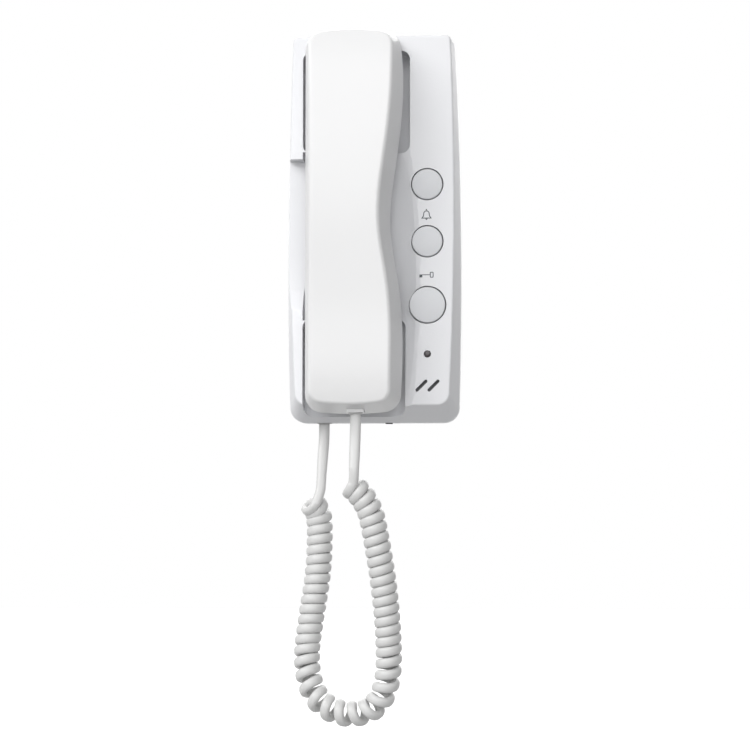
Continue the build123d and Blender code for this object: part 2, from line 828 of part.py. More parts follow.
# Tone speaker behind the slots
with BuildPart() as tone_speaker:
    with BuildSketch(at_depth(speaker_front_depth - speaker_height)):
        with Locations((speaker_x, speaker_z)):
            Circle(speaker_radius)
    extrude(amount=speaker_height)
    chamfer(tone_speaker.faces().sort_by(Axis.Y)[-1].edges(), speaker_height / 4)
    with BuildSketch(at_depth(speaker_front_depth - speaker_height - speaker_magnet_height)):
        with Locations((speaker_x, speaker_z)):
            Circle(speaker_magnet_radius)
    extrude(amount=speaker_magnet_height)
save(tone_speaker.part, "tone_speaker")

with BuildPart() as speaker_gasket:
    with BuildSketch(at_depth(speaker_front_depth)):
        with Locations((speaker_x, speaker_z)):
            Circle(speaker_radius)
            Circle(speaker_radius - speaker_seat_width, mode=Mode.SUBTRACT)
    extrude(amount=gasket_thick)
save(speaker_gasket.part, "speaker_gasket")

# Tone volume switch
volume_body_low = low_z + wall + volume_seat_gap
socket_half_thick = volume_knob_thick / 2 + volume_knob_gap
with BuildPart() as volume_switch:
    with BuildSketch(Plane.XY.offset(volume_body_low)):
        with Locations((volume_x, -base_jack_depth)):
            Rectangle(volume_body_width, 2 * (board_depth - base_jack_depth))
    extrude(amount=volume_body_height)
    with BuildSketch(Plane.XY.offset(volume_body_low)):
        with Locations((volume_x, -base_jack_depth)):
            Rectangle(volume_slot_length, 2 * socket_half_thick)
    extrude(amount=volume_socket, mode=Mode.SUBTRACT)
save(volume_switch.part, "volume_switch")

with BuildPart() as volume_knob:
    with BuildSketch(Plane.XY.offset(low_z - volume_knob_proud)):
        with Locations((volume_x, -base_jack_depth)):
            Rectangle(volume_knob_width, volume_knob_thick)
    extrude(amount=volume_knob_proud + wall + volume_seat_gap + volume_socket - volume_knob_gap)
    chamfer(volume_knob.faces().sort_by(Axis.Z)[0].edges(), volume_knob_proud / 4)
save(volume_knob.part, "volume_knob")


def jack():
    # socket with its mouth at the origin, facing down
    with BuildPart() as body:
        with BuildSketch():
            Rectangle(jack_width, jack_thick)
        extrude(amount=plug_length + jack_extra_length)
        with BuildSketch():
            Rectangle(plug_width + 2 * jack_gap, plug_thick + 2 * jack_gap)
        extrude(amount=plug_length, mode=Mode.SUBTRACT)
    return body.part


def plug():
    # plug of the cord, its outer end at the origin, with a latch tongue on the room side
    body_thick = plug_thick - plug_latch_gap - plug_latch_thick
    body_y = (plug_thick - body_thick) / 2
    latch_y = -(plug_thick - plug_latch_thick) / 2
    with BuildPart() as body:
        with BuildSketch():
            with Locations((0, body_y)):
                Rectangle(plug_width, body_thick)
        extrude(amount=plug_length - jack_gap)
        chamfer(body.faces().sort_by(Axis.Z)[-1].edges(), plug_edge)
        with BuildSketch(Plane.XY.offset(plug_proud)):
            with Locations((0, latch_y)):
                Rectangle(plug_latch_width, plug_latch_thick)
        extrude(amount=plug_length - 3 * plug_edge - plug_proud)
        with BuildSketch(Plane.XY.offset(plug_length - 6 * plug_edge)):
            with Locations((0, (latch_y + body_y) / 2)):
                Rectangle(plug_latch_width, plug_thick / 2)
        extrude(amount=3 * plug_edge)
    return body.part


base_end = Pos(base_exit_x, -base_jack_depth, low_z - plug_proud)
handset_exit_z = handset_low - handset_end_crown - plug_proud
handset_end = Pos(handset_exit_x, -handset_jack_depth, handset_exit_z)
save(Pos(0, 0, 2 * plug_proud) * base_end * jack(), "base_jack")
save(base_end * plug(), "cord_plug_base")
save(Pos(0, 0, 2 * plug_proud) * handset_end * jack(), "handset_jack")
save(handset_end * plug(), "cord_plug_handset")

# Hook lever, its pin, its spring and its switch
arm_back_depth = hook_pivot_depth - hook_arm_thick / 2
arm_end_z = hook_pivot_z - hook_arm_length
tongue_end_depth = handset_seat_depth - hook_end_gap
with BuildPart() as hook_lever:
    with BuildSketch(Plane.YZ.offset(hook_x - hook_width / 2)):
        with Locations((-hook_pivot_depth, hook_pivot_z)):
            Circle(hook_barrel_radius)
        rectangle_between(-hook_pivot_depth - hook_arm_thick / 2, -arm_back_depth, arm_end_z, hook_pivot_z)
        rectangle_between(-tongue_end_depth, -hook_pivot_depth, arm_end_z, arm_end_z + hook_tongue_length)
        with Locations((-hook_pivot_depth, hook_pivot_z)):
            Circle(hook_pin_radius + hook_pin_gap, mode=Mode.SUBTRACT)
    extrude(amount=hook_width)
    fillet(hook_lever.faces().sort_by(Axis.Y)[0].edges().filter_by(Axis.X), hook_tip_round)
save(hook_lever.part, "hook_lever")

with BuildPart() as hook_lever_pin:
    with BuildSketch(Plane.YZ.offset(hook_x - ear_x - hook_ear_thick)):
        with Locations((-hook_pivot_depth, hook_pivot_z)):
            Circle(hook_pin_radius)
    extrude(amount=2 * (ear_x + hook_ear_thick))
save(hook_lever_pin.part, "hook_lever_pin")

with BuildPart() as hook_spring:
    with BuildSketch(at_depth(wall + hook_seat_gap)):
        with Locations((hook_x, hook_pivot_z - hook_spring_drop)):
            Circle(hook_spring_radius)
            Circle(hook_spring_radius - hook_spring_wall, mode=Mode.SUBTRACT)
    extrude(amount=arm_back_depth - wall - 2 * hook_seat_gap)
save(hook_spring.part, "hook_spring")

switch_z = hook_pivot_z - hook_switch_drop
with BuildPart() as hook_switch:
    with BuildSketch(at_depth(wall + hook_seat_gap)):
        with Locations((hook_x, switch_z)):
            Rectangle(hook_switch_width, hook_switch_height)
    extrude(amount=hook_switch_thick)
    with BuildSketch(at_depth(wall + hook_seat_gap + hook_switch_thick)):
        with Locations((hook_x, switch_z)):
            Circle(hook_plunger_radius)
    extrude(amount=arm_back_depth - hook_plunger_gap - wall - hook_seat_gap - hook_switch_thick)
save(hook_switch.part, "hook_switch")

# Handset shells
def length_z(share, inset=0):
    return handset_low + inset + share * (handset_length - 2 * inset)


def handset_outline(left_in, right_in, end_in):
    # straight left edge, waisted right edge, crowned ends
    left = handset_left + left_in
    width = handset_width - left_in - right_in
    edge = [(left + width_share * width, length_z(share, end_in)) for share, width_share in right_edge_shares]
    low, high = length_z(0, end_in), length_z(1, end_in)
    with BuildSketch() as outline:
        with BuildLine():
            Spline(*edge)
            ThreePointArc(edge[-1], ((left + edge[-1][0]) / 2, high + handset_end_crown), (left, high))
            Line((left, high), (left, low))
            ThreePointArc((left, low), ((left + edge[0][0]) / 2, low - handset_end_crown), edge[0])
        make_face()
        fillet(outline.vertices().group_by(Axis.Y)[-1], handset_corner_top - end_in / 2)
        fillet(outline.vertices().sort_by(Axis.Y)[:2], handset_corner_low - end_in / 2)
    return outline.sketch


def front_form(inset):
    # drafted sides under a front that is curved along its length
    with BuildPart() as form:
        with BuildSketch(at_depth(handset_split_depth - (overrun if inset else 0))):
            add(handset_outline(inset, inset, inset))
        with BuildSketch(at_depth(handset_front_depth + 2 * overrun)):
            add(handset_outline(handset_left_draft + inset, handset_right_draft + inset, handset_end_draft + inset))
        loft()
        line = [(-(share_depth * handset_front_depth - inset), length_z(share)) for share, share_depth in
                front_line_shares]
        line[0] = (line[0][0], line[0][1] - 2 * handset_end_crown)
        line[-1] = (line[-1][0], line[-1][1] + 2 * handset_end_crown)
        with BuildSketch(Plane.YZ.offset(handset_left - overrun)):
            with BuildLine():
                Spline(*line)
                Polyline(line[-1], (overrun, line[-1][1]), (overrun, line[0][1]), line[0])
            make_face()
        extrude(amount=handset_width + 2 * overrun, mode=Mode.INTERSECT)
    return form.part


def back_form(inset):
    # ear and mouth ends that stand in the wells, with the grip arched between them
    seat = handset_seat_depth + inset
    grip = grip_depth + inset
    split = handset_split_depth + (overrun if inset else -joint_gap)
    lip = base_depth + lip_clearance + inset
    lip_z = cradle_top - lip_clearance - inset
    low, high = length_z(0) - 2 * handset_end_crown, length_z(1) + 2 * handset_end_crown
    mouth, grip_low = length_z(mouth_flat_share) - inset, length_z(grip_low_share) - inset
    grip_top, ear = length_z(grip_top_share) + inset, length_z(ear_flat_share) + inset
    with BuildPart() as form:
        with BuildSketch(at_depth(split)):
            add(handset_outline(inset, inset, inset))
        with BuildSketch(at_depth(handset_seat_depth - overrun)):
            add(handset_outline(handset_back_taper + inset, handset_back_taper + inset, handset_back_taper + inset))
        loft()
        with BuildSketch(Plane.YZ.offset(handset_left - overrun)):
            with BuildLine():
                Line((-split - overrun, low), (-seat, low))
                Line((-seat, low), (-seat, mouth))
                Bezier((-seat, mouth), (-seat, (mouth + grip_low) / 2), (-grip, (mouth + grip_low) / 2),
                       (-grip, grip_low))
                Line((-grip, grip_low), (-grip, grip_top))
                Bezier((-grip, grip_top), (-grip, (grip_top + ear) / 2), (-seat, (grip_top + ear) / 2), (-seat, ear))
                Polyline((-seat, ear), (-seat, lip_z), (-lip, lip_z), (-lip, high), (-split - overrun, high))
                Line((-split - overrun, high), (-split - overrun, low))
            make_face()
        extrude(amount=handset_width + 2 * overrun, mode=Mode.INTERSECT)
    return form.part


handset_seat_inner = handset_seat_depth + handset_wall
cup_radius = handset_screw_head + screw_gap + handset_cup_wall
cup_seat_depth = grip_depth + handset_screw_head_height + screw_gap
cup_end_depth = cup_seat_depth + handset_cup_floor
with BuildPart() as handset_cavity:
    add(front_form(handset_wall))
    with BuildSketch(at_depth(cup_end_depth + joint_gap)):
        with Locations(*handset_screw_places):
            Circle(handset_boss_radius)
    extrude(amount=handset_front_depth, mode=Mode.SUBTRACT)

with BuildPart() as handset_outer_shell:
    add(front_form(0))
    fillet(handset_outer_shell.faces().sort_by(Axis.Y)[0].edges(), handset_edge_radius)
    add(handset_cavity.part, mode=Mode.SUBTRACT)
    with BuildSketch(at_depth(cup_end_depth)):
        with Locations(*handset_screw_places):
            Circle(handset_screw_radius + pilot_clearance)
    extrude(amount=handset_screw_length, mode=Mode.SUBTRACT)
    with BuildSketch(Plane.XY.offset(handset_low - 2 * handset_end_crown)):
        with Locations((handset_exit_x, -handset_jack_depth)):
            Rectangle(jack_width + 2 * joint_gap, jack_thick + 2 * joint_gap)
    extrude(amount=handset_corner_low + 2 * handset_end_crown, mode=Mode.SUBTRACT)
save(handset_outer_shell.part, "handset_outer_shell")

with BuildPart() as handset_inner_shell:
    add(back_form(0))
    add(back_form(handset_wall), mode=Mode.SUBTRACT)
    # collars hold the receiver and the microphone, cups take the screws
    with BuildSketch(at_depth(handset_seat_depth + handset_wall / 2)):
        with Locations((handset_middle_x, ear_z)):
            Circle(receiver_radius + collar_gap + collar_wall)
            Circle(receiver_radius + collar_gap, mode=Mode.SUBTRACT)
        with Locations((handset_middle_x, mouth_z)):
            Circle(capsule_radius + boot_wall + collar_gap + collar_wall)
            Circle(capsule_radius + boot_wall + collar_gap, mode=Mode.SUBTRACT)
    extrude(amount=handset_wall / 2 + collar_height)
    with BuildSketch(at_depth(grip_depth + handset_wall / 2)):
        with Locations(*handset_screw_places):
            Circle(cup_radius)
    extrude(amount=cup_end_depth - grip_depth - handset_wall / 2)
    with BuildSketch(at_depth(grip_depth)):
        with Locations(*handset_screw_places):
            Circle(handset_screw_head + screw_gap)
    extrude(amount=cup_seat_depth - grip_depth, mode=Mode.SUBTRACT)
    with BuildSketch(at_depth(grip_depth)):
        with Locations(*handset_screw_places):
            Circle(handset_screw_radius + joint_gap)
    extrude(amount=handset_front_depth - grip_depth, mode=Mode.SUBTRACT)
    with BuildSketch(at_depth(handset_seat_depth - overrun)):
        with Locations((handset_middle_x, ear_z)):
            Circle(sound_hole_radius)
            with PolarLocations(sound_ring_radius, sound_holes):
                Circle(sound_hole_radius)
        with Locations((handset_middle_x, mouth_z)):
            with PolarLocations(mouth_ring_radius, mouth_holes):
                Circle(mouth_hole_radius)
    extrude(amount=handset_wall + 2 * overrun, mode=Mode.SUBTRACT)
save(handset_inner_shell.part, "handset_inner_shell")

save(screws_at(handset_screw_places, cup_seat_depth, True, handset_screw_radius, handset_screw_head,
               handset_screw_head_height, handset_screw_length), "handset_screws")

# Receiver, microphone and weight
receiver_seat = handset_seat_inner + seat_gap
with BuildPart() as receiver_gasket:
    with BuildSketch(at_depth(receiver_seat)):
        with Locations((handset_middle_x, ear_z)):
            Circle(receiver_radius)
            Circle(receiver_radius - receiver_gasket_width, mode=Mode.SUBTRACT)
    extrude(amount=receiver_gasket_thick)
save(receiver_gasket.part, "receiver_gasket")

with BuildPart() as receiver_capsule:
    with BuildSketch(at_depth(receiver_seat + receiver_gasket_thick)):
        with Locations((handset_middle_x, ear_z)):
            Circle(receiver_radius)
    extrude(amount=receiver_height)
    with BuildSketch(at_depth(receiver_seat + receiver_gasket_thick + receiver_height)):
        with Locations((handset_middle_x, ear_z)):
            Circle(receiver_back_radius)
    extrude(amount=receiver_back_height)
    chamfer(receiver_capsule.faces().sort_by(Axis.Y)[0].edges(), receiver_back_height / 4)
save(receiver_capsule.part, "receiver_capsule")

with BuildPart() as microphone_boot:
    with BuildSketch(at_depth(receiver_seat)):
        with Locations((handset_middle_x, mouth_z)):
            Circle(capsule_radius + boot_wall)
    extrude(amount=boot_floor + capsule_height)
    with BuildSketch(at_depth(receiver_seat + boot_floor)):
        with Locations((handset_middle_x, mouth_z)):
            Circle(capsule_radius + seat_gap)
    extrude(amount=capsule_height, mode=Mode.SUBTRACT)
    with BuildSketch(at_depth(receiver_seat)):
        with Locations((handset_middle_x, mouth_z)):
            Circle(mouth_ring_radius + mouth_hole_radius)
    extrude(amount=boot_floor, mode=Mode.SUBTRACT)
save(microphone_boot.part, "microphone_boot")

with BuildPart() as microphone_capsule:
    with BuildSketch(at_depth(receiver_seat + boot_floor)):
        with Locations((handset_middle_x, mouth_z)):
            Circle(capsule_radius)
    extrude(amount=capsule_height)
save(microphone_capsule.part, "microphone_capsule")

with BuildPart() as handset_weight:
    with BuildSketch(at_depth(grip_depth + handset_wall + weight_gap)):
        with Locations((handset_middle_x, weight_z)):
            Rectangle(weight_width, weight_length)
    extrude(amount=weight_thick)
    chamfer(handset_weight.edges().filter_by(Axis.Y), weight_edge)
save(handset_weight.part, "handset_weight")

# Cord: a lead out of the base, the curls, and a lead up to the handset


def lead(points):
    # round tube on a hand-chosen route, each corner rounded by a share of its shorter run
    spots = [Vector(*point) for point in points]
    radii = []
    for before, here, after in zip(spots, spots[1:], spots[2:]):
        run = min((here - before).length, (after - here).length)
        half_turn = radians((here - before).get_angle(after - here)) / 2
        radii.append(bend_share * run / tan(half_turn))
    with BuildPart() as tube:
        with BuildLine() as route:
            FilletPolyline(*points, radius=radii)
        start = Plane(origin=route.wire() @ 0, z_dir=route.wire() % 0)
        with BuildSketch(start) as section:
            Circle(wire / 2)
        sweep()
    print("lead radii", [round(radius) for radius in radii], "volume", round(tube.part.volume, 1), "of",
          round(section.sketch.area * route.wire().length, 1))
    return tube.part


save(lead(base_lead_points), "cord_base_lead")
save(lead(handset_lead_points), "cord_handset_lead")


def biarc(start, start_way, end, end_way):
    # two arcs that leave along one direction and arrive along the other
    span = end - start
    along = span.dot(start_way + end_way)
    spread = 2 * (1 - start_way.dot(end_way))
    reach = (sqrt(along * along + spread * span.dot(span)) - along) / spread
    middle = (start + end + (start_way - end_way) * reach) * 0.5
    first = Edge.make_tangent_arc(start, start_way, middle)
    return [first, Edge.make_tangent_arc(middle, first % 1, end)]


def pitch_at(z):
    # the curls sit closer in the legs than in the bend
    share = (bend_top_z - z) / (bend_top_z - bend_low_z)
    return leg_pitch + (bend_pitch - leg_pitch) * min(max(share, 0), 1)


# the axis runs through the middles of its route's spans as a chain of parabolas, and the turns are counted along it
knots = [Vector(*point) for point in curl_axis_points]
joints = [knots[0]] + [(a + b) * 0.5 for a, b in zip(knots[1:-2], knots[2:-1])] + [knots[-1]]
axis_rows = []
turns = 0
for start, pull, end in zip(joints, knots[1:-1], joints[1:]):
    for part_number in range(axis_parts):
        share = part_number / axis_parts
        spot = start * (1 - share) ** 2 + pull * (2 * share * (1 - share)) + end * share ** 2
        way = ((pull - start) * (1 - share) + (end - pull) * share).normalized()
        if axis_rows:
            turns += (spot - axis_rows[-1][1]).length / pitch_at(spot.Z)
        axis_rows.append((turns, spot, way))
turns += (knots[-1] - axis_rows[-1][1]).length / leg_pitch
axis_rows.append((turns, knots[-1], (knots[-1] - knots[-2]).normalized()))


def on_helix(turn):
    # point of the wire's centreline after this many turns
    below = max(number for number, row in enumerate(axis_rows[:-1]) if row[0] <= turn)
    low, high = axis_rows[below], axis_rows[below + 1]
    share = (turn - low[0]) / (high[0] - low[0])
    spot = low[1] * (1 - share) + high[1] * share
    way = (low[2] * (1 - share) + high[2] * share).normalized()
    facing = Vector(*loop_facing)
    across = (facing - way * facing.dot(way)).normalized()
    angle = 2 * pi * turn
    return spot + across * (curl_radius * cos(angle)) + way.cross(across) * (curl_radius * sin(angle))


def helix_way(turn):
    return (on_helix(turn + turn_step) - on_helix(turn - turn_step)).normalized()


part_count = round(turns * turn_parts)
spots = [number / turn_parts for number in range(first_part, part_count - last_part)]
entry_way = (Vector(*base_lead_points[-1]) - Vector(*base_lead_points[-2])).normalized()
exit_way = (Vector(*handset_lead_points[-2]) - Vector(*handset_lead_points[-1])).normalized()
entry = Vector(*base_lead_points[-1])
entry_end = entry + entry_way * wire
exit_end = Vector(*handset_lead_points[-1])
exit_start = exit_end - exit_way * wire
path = [Edge.make_line(entry, entry_end)]
path += biarc(entry_end, entry_way, on_helix(spots[0]), helix_way(spots[0]))
for here, ahead in zip(spots, spots[1:]):
    path += biarc(on_helix(here), helix_way(here), on_helix(ahead), helix_way(ahead))
path += biarc(on_helix(spots[-1]), helix_way(spots[-1]), exit_start, exit_way)
path += [Edge.make_line(exit_start, exit_end)]
centreline = Wire(path)
count = round(turns) * gap_parts
measured = [centreline @ (number / count) for number in range(count + 1)]
least = min((a - b).length for number, a in enumerate(measured) for b in measured[number + gap_parts * 3 // 4:])
print("turns", round(turns, 1), "least radius", round(min(edge.radius for edge in path[1:-1]), 2),
      "least gap", round(least - wire, 2), "length", round(centreline.length))
with BuildPart() as cord_curls:
    with BuildSketch(Plane(origin=entry, z_dir=entry_way)):
        RegularPolygon(wire / 2, wire_sides)
    sweep(path=centreline)
save(cord_curls.part, "cord_curls")
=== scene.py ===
import json
import math

import bpy
import bmesh
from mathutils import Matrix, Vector


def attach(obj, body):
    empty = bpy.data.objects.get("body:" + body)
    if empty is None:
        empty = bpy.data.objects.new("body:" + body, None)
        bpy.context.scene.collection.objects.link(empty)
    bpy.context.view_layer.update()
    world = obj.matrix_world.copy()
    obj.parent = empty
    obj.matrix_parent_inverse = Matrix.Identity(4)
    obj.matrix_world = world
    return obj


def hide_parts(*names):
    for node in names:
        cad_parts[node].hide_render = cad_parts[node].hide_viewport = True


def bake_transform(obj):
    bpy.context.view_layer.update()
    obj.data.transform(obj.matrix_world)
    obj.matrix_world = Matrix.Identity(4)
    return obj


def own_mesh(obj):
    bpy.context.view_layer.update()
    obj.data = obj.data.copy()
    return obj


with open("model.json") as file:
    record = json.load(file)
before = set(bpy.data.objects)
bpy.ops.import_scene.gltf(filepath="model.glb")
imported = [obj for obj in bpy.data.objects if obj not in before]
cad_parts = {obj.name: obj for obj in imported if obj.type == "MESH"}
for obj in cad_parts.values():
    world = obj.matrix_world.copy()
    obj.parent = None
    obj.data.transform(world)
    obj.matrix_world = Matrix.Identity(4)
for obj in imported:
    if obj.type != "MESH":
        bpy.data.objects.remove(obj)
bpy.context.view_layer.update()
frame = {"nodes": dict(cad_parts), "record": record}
scene = bpy.context.scene
mm = 0.001

# camera: the photograph looks up a little, and from a little to the right
cameraSettings = {
    "azimuth": 4.5, "elevation": -4.0, "distance": 1.3, "target": (-0.0006, 0.0, -0.082),
    "lens": 108.3, "sensor": 36,
}


def placeCamera(settings):
    azimuth, elevation = math.radians(settings["azimuth"]), math.radians(settings["elevation"])
    level = math.cos(elevation)
    away = Vector((math.sin(azimuth) * level, -math.cos(azimuth) * level, math.sin(elevation)))
    camera = bpy.data.objects.new("camera", bpy.data.cameras.new("camera"))
    camera.data.lens = settings["lens"]
    camera.data.sensor_width = settings["sensor"]
    camera.location = Vector(settings["target"]) + away * settings["distance"]
    camera.rotation_euler = (-away).to_track_quat("-Z", "Y").to_euler()
    scene.collection.objects.link(camera)
    scene.camera = camera


placeCamera(cameraSettings)
print("camera placed")


# materials; grain is the depth of the moulded finish, and none leaves the surface plain
def plastic(name, colour, roughness, grain=0.0, metallic=0.0):
    material = bpy.data.materials.new(name)
    material.use_nodes = True
    nodes, links = material.node_tree.nodes, material.node_tree.links
    shader = nodes["Principled BSDF"]
    shader.inputs["Base Color"].default_value = (*colour, 1)
    shader.inputs["Roughness"].default_value = roughness
    shader.inputs["Metallic"].default_value = metallic
    if grain:
        finish = nodes.new("ShaderNodeGroup")
        finish.node_tree = mouldedFinish
        finish.inputs["Scale"].default_value = mouldedSizes["grainScale"]
        finish.inputs["Depth"].default_value = grain
        finish.inputs["Roughness"].default_value = roughness
        links.new(finish.outputs["Normal"], shader.inputs["Normal"])
        links.new(finish.outputs["Roughness"], shader.inputs["Roughness"])
    return material


def buildMouldedFinish(sizes):
    # fine spark-eroded grain with slow changes of gloss, as on injection-moulded parts
    group = bpy.data.node_groups.new("mouldedFinish", "ShaderNodeTree")
    for label in ("Scale", "Depth", "Roughness"):
        group.interface.new_socket(name=label, in_out="INPUT", socket_type="NodeSocketFloat")
    group.interface.new_socket(name="Normal", in_out="OUTPUT", socket_type="NodeSocketVector")
    group.interface.new_socket(name="Roughness", in_out="OUTPUT", socket_type="NodeSocketFloat")
    nodes, links = group.nodes, group.links
    inside, outside = nodes.new("NodeGroupInput"), nodes.new("NodeGroupOutput")
    place = nodes.new("ShaderNodeTexCoord")
    fine, slow = nodes.new("ShaderNodeTexNoise"), nodes.new("ShaderNodeTexNoise")
    slow.inputs["Scale"].default_value = sizes["glossScale"]
    fine.inputs["Detail"].default_value = sizes["grainDetail"]
    bump = nodes.new("ShaderNodeBump")
    bump.inputs["Distance"].default_value = sizes["grainHeight"]
    shift = nodes.new("ShaderNodeMath")
    shift.operation = "MULTIPLY_ADD"
    shift.inputs[1].default_value = sizes["glossChange"]
    links.new(place.outputs["Object"], fine.inputs["Vector"])
    links.new(place.outputs["Object"], slow.inputs["Vector"])
    links.new(inside.outputs["Scale"], fine.inputs["Scale"])
    links.new(inside.outputs["Depth"], bump.inputs["Strength"])
    links.new(fine.outputs["Fac"], bump.inputs["Height"])
    links.new(slow.outputs["Fac"], shift.inputs[0])
    links.new(inside.outputs["Roughness"], shift.inputs[2])
    links.new(bump.outputs["Normal"], outside.inputs["Normal"])
    links.new(shift.outputs[0], outside.inputs["Roughness"])
    return group


mouldedSizes = {
    "grainScale": 900, "grainDetail": 3, "grainHeight": 0.0002, "glossScale": 18, "glossChange": 0.12,
}
mouldedFinish = buildMouldedFinish(mouldedSizes)
caseWhite = plastic("caseWhite", (0.785, 0.79, 0.81), 0.42, grain=0.25)
buttonWhite = plastic("buttonWhite", (0.66, 0.67, 0.69), 0.34, grain=0.1)
handsetWhite = plastic("handsetWhite", (0.78, 0.78, 0.783), 0.3, grain=0.12)
cordWhite = plastic("cordWhite", (0.63, 0.63, 0.625), 0.38)
feltGrey = plastic("feltGrey", (0.3, 0.3, 0.31), 0.9)
signInk = plastic("signInk", (0.07, 0.08, 0.09), 0.6)
lampDark = plastic("lampDark", (0.03, 0.022, 0.025), 0.2)
socketDark = plastic("socketDark", (0.03, 0.03, 0.032), 0.5)
zincSteel = plastic("zincSteel", (0.3, 0.31, 0.33), 0.42, metallic=1.0)
print("materials made")


def makePiece(name, mesh, material):
    data = bpy.data.meshes.new(name)
    mesh.to_mesh(data)
    mesh.free()
    data.materials.append(material)
    piece = bpy.data.objects.new(name, data)
    scene.collection.objects.link(piece)
    return piece


# moulded pieces: a merged, smoothly shaded copy stands for each CAD node
dressing = {"mergeDistance": 0.00001, "sharpAngle": 28, "easedAngle": 40, "easedNodes": ("front_cover",)}


def mergedCopy(name):
    node = frame["nodes"][name]
    mesh = bmesh.new()
    mesh.from_mesh(node.data)
    mesh.transform(node.matrix_world)
    bmesh.ops.remove_doubles(mesh, verts=mesh.verts, dist=dressing["mergeDistance"])
    return mesh


def dressNode(name, material):
    angle = dressing["easedAngle" if name in dressing["easedNodes"] else "sharpAngle"]
    mesh = mergedCopy(name)
    for face in mesh.faces:
        face.smooth = True
    for edge in mesh.edges:
        edge.smooth = len(edge.link_faces) == 2 and edge.calc_face_angle(0) < math.radians(angle)
    piece = makePiece(name + "Finish", mesh, material)
    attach(piece, bodyOf[name])
    flow = piece.modifiers.new("flow", "WEIGHTED_NORMAL")  # large flat faces keep their own shade
    flow.keep_sharp = True
    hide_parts(name)


bodyOf = {}
for bodyName, names in frame["record"]["behaviour"]["bodies"].items():
    for nodeName in names:
        bodyOf[nodeName] = bodyName

finishes = {
    "front_cover": caseWhite, "rear_case": caseWhite, "hook_lever": caseWhite,
    "button_upper": buttonWhite, "button_bell": buttonWhite, "button_door": buttonWhite,
    "handset_outer_shell": handsetWhite, "handset_inner_shell": handsetWhite,
    "indicator_lens": lampDark, "volume_switch": socketDark, "volume_knob": socketDark,
    "base_jack": caseWhite, "handset_jack": handsetWhite, "tone_speaker": feltGrey, "speaker_gasket": feltGrey,
    "cord_plug_base": cordWhite, "cord_plug_handset": cordWhite,
    "wall_bracket": zincSteel, "case_screws": zincSteel, "handset_screws": zincSteel,
    "terminal_screws": zincSteel,
}
for nodeName, finish in finishes.items():
    dressNode(nodeName, finish)
print("moulded pieces dressed")

# rubber keypad in three pieces, one dome under each button; all three ride on the base
keypad = {
    "press": 0.0013, "ends": (0.06, 0.00765, -0.0266, -0.09),
    "joints": ("upper_press", "bell_press", "door_press"),
}


def softDome(joint, top, low):
    mesh = mergedCopy("rubber_keypad")
    for height, way in ((top, 1), (low, -1)):
        bmesh.ops.bisect_plane(mesh, geom=mesh.verts[:] + mesh.edges[:] + mesh.faces[:],
                               plane_co=(0, 0, height), plane_no=(0, 0, way), clear_outer=True)
    bmesh.ops.holes_fill(mesh, edges=[edge for edge in mesh.edges if edge.is_boundary])
    bmesh.ops.recalc_face_normals(mesh, faces=mesh.faces)
    piece = makePiece("keypad_" + joint, mesh, feltGrey)
    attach(piece, "base")
    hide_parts("rubber_keypad")
    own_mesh(piece)


for pressJoint, pressTop, pressLow in zip(keypad["joints"], keypad["ends"], keypad["ends"][1:]):
    softDome(pressJoint, pressTop, pressLow)
print("keypad split")

# cord: two leads and the curls between them, on the routes of the CAD source
cordSizes = {
    "wire": 4.7, "wide": 5.5, "leadWide": 6.1, "thin": 4.3, "curlRadius": 5.35, "legPitch": 5.65, "bendPitch": 8.2,
    "bendTop": -236.0, "bendLow": -262.0, "facing": (0.55, 0.835, 0.0), "pointsPerTurn": 24,
    "ringPoints": 16, "roundness": 2.6, "leadEnd": -140.0, "leadFade": 10.0, "joinReach": 8.0, "joinSteps": 14,
    "leadResolution": 12, "axisResolution": 40, "blendWay": (0.62, -0.785, 0.0), "blendStart": -1.5, "blendEnd": 18.0,
    "baseLead": ((-29.2, -6.2, -110.4), (-29.2, -6.2, -119.0), (-29.8, -11.0, -131.0), (-29.9, -18.6, -147.0)),
    "handsetLead": ((-8.2, -41.8, -106.7), (-8.2, -41.8, -115.0), (-8.5, -43.6, -127.0), (-8.6, -46.4, -136.5)),
    "axis": ((-37.2, -18.2, -154.8), (-31.8, -13.4, -157.9), (-30.8, -13.2, -172.0),
             (-31.6, -14.4, -196.0), (-35.6, -15.8, -220.0), (-38.6, -17.6, -244.0),
             (-34.6, -20.0, -262.5), (-25.0, -22.6, -271.5), (-12.0, -25.4, -274.5),
             (2.0, -28.6, -270.5), (9.4, -31.2, -256.0), (9.8, -33.6, -232.0),
             (7.8, -36.0, -206.0), (4.2, -38.2, -181.0), (-1.6, -39.4, -151.6), (-14.6, -41.2, -143.6)),
}


def routePoints(points, resolution):
    # points along a NURBS route of order 3 through these control points, in metres
    curve = bpy.data.curves.new("route", "CURVE")
    curve.dimensions = "3D"
    spline = curve.splines.new("NURBS")
    spline.points.add(len(points) - 1)
    for control, point in zip(spline.points, points):
        control.co = (*[c * mm for c in point], 1)
    spline.order_u = 3
    spline.use_endpoint_u = True
    spline.resolution_u = resolution
    holder = bpy.data.objects.new("route", curve)
    data = bpy.data.meshes.new_from_object(holder)
    spots = [v.co.copy() for v in data.vertices]
    bpy.data.meshes.remove(data)
    bpy.data.objects.remove(holder)
    return spots


